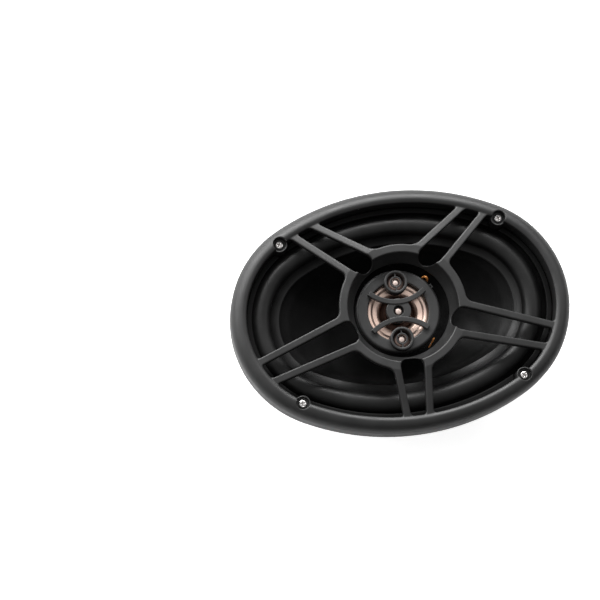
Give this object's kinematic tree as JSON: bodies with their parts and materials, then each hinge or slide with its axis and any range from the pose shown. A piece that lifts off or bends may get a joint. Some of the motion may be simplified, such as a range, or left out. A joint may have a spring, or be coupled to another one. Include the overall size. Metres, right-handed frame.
{
  "type": "coaxial car speaker",
  "caption": "Oval coaxial car loudspeaker with a spoked grille, a central pod of smaller drivers and a windowed steel basket.",
  "frame": {"origin": "centre of the basket flange's back face, on the axis of the voice coil", "axes": "+Z along the voice coil's axis, out of the grille towards the listener; +X along the oval's long axis; +Y along its short axis, the terminals being on the -Y side"},
  "size_m": [0.2432, 0.176, 0.1015],
  "materials": {
    "grille_plastic": "fine-grained satin moulded ABS, charcoal black",
    "zinc_screw": "bright zinc plating",
    "black_steel": "black powder coat on pressed steel",
    "foam": "closed-cell foam tape",
    "gasket_rubber": "smooth satin rubber",
    "surround_rubber": "matt butyl rubber",
    "spider_cloth": "resin-stiffened yellow cloth",
    "motor_steel": "zinc-passivated steel",
    "ferrite": "ground ferrite ceramic",
    "boot_rubber": "moulded satin rubber",
    "pod_plastic": "satin moulded plastic, dark grey",
    "neodymium": "nickel plating",
    "rose_metal": "polished rose-gold foil",
    "reflector_foil": "satin rose-gold foil, darker than the domes",
    "board_fibre": "brown phenolic board",
    "tinned_brass": "tin-plated brass",
    "copper_braid": "braided copper tinsel",
    "capacitor_sleeve": "shrink sleeve on aluminium can",
    "wire_insulation": "orange PVC insulation",
    "cone_poly": "black injection-moulded polypropylene",
    "former_aluminium": "thin rolled aluminium foil",
    "copper_wire": "lacquered copper winding",
    "rose_film": "vacuum-metallised rose-gold film"
  },
  "bodies": {
    "chassis": {"grille": "grille_plastic", "grille_screws": "zinc_screw", "basket": "black_steel", "basket_rivets": "zinc_screw", "mounting_gasket": "foam", "front_gasket": "gasket_rubber", "surround": "surround_rubber", "spider": "spider_cloth", "front_plate": "motor_steel", "ferrite_magnet": "ferrite", "pole_yoke": "motor_steel", "magnet_boot": "boot_rubber", "tweeter_post": "motor_steel", "post_nut": "zinc_screw", "pod_housing": "pod_plastic", "pod_bezel": "pod_plastic", "mid_chassis": "black_steel", "mid_surround": "rose_film", "mid_yoke": "motor_steel", "mid_magnet": "neodymium", "mid_pole_plate": "motor_steel", "upper_reflector": "reflector_foil", "lower_reflector": "reflector_foil", "upper_magnet": "neodymium", "lower_magnet": "neodymium", "centre_magnet": "neodymium", "terminal_board": "board_fibre", "positive_tab": "tinned_brass", "negative_tab": "tinned_brass", "terminal_rivets": "tinned_brass", "positive_lead": "copper_braid", "negative_lead": "copper_braid", "mid_capacitor": "capacitor_sleeve", "tweeter_capacitor": "capacitor_sleeve", "upper_pod_wire": "wire_insulation", "lower_pod_wire": "wire_insulation"},
    "woofer": {"woofer_cone": "cone_poly", "voice_coil_former": "former_aluminium", "voice_coil_winding": "copper_wire"},
    "midrange": {"mid_cone": "rose_film", "mid_voice_coil": "copper_wire", "mid_dust_cap": "cone_poly"},
    "centre_tweeter": {"centre_dome": "rose_metal", "centre_coil": "copper_wire"},
    "upper_tweeter": {"upper_dome": "rose_metal", "upper_coil": "copper_wire"},
    "lower_tweeter": {"lower_dome": "rose_metal", "lower_coil": "copper_wire"}
  },
  "joints": [
    {"name": "woofer_excursion", "type": "slide", "parent": "chassis", "child": "woofer", "axis": [0, 0, 1], "range_m": [-0.005, 0.005], "stiffness_N_per_m": 2500, "deforming": ["surround", "spider", "positive_lead", "negative_lead"]},
    {"name": "midrange_excursion", "type": "slide", "parent": "chassis", "child": "midrange", "axis": [0, 0, 1], "range_m": [-0.0008, 0.0008], "stiffness_N_per_m": 400, "deforming": ["mid_surround"]},
    {"name": "centre_dome_travel", "type": "slide", "parent": "chassis", "child": "centre_tweeter", "axis": [0, 0, 1], "range_m": [-0.0002, 0.0002], "stiffness_N_per_m": 20},
    {"name": "upper_dome_travel", "type": "slide", "parent": "chassis", "child": "upper_tweeter", "axis": [0, 0, 1], "range_m": [-0.0002, 0.0002], "stiffness_N_per_m": 20},
    {"name": "lower_dome_travel", "type": "slide", "parent": "chassis", "child": "lower_tweeter", "axis": [0, 0, 1], "range_m": [-0.0002, 0.0002], "stiffness_N_per_m": 20}
  ]
}
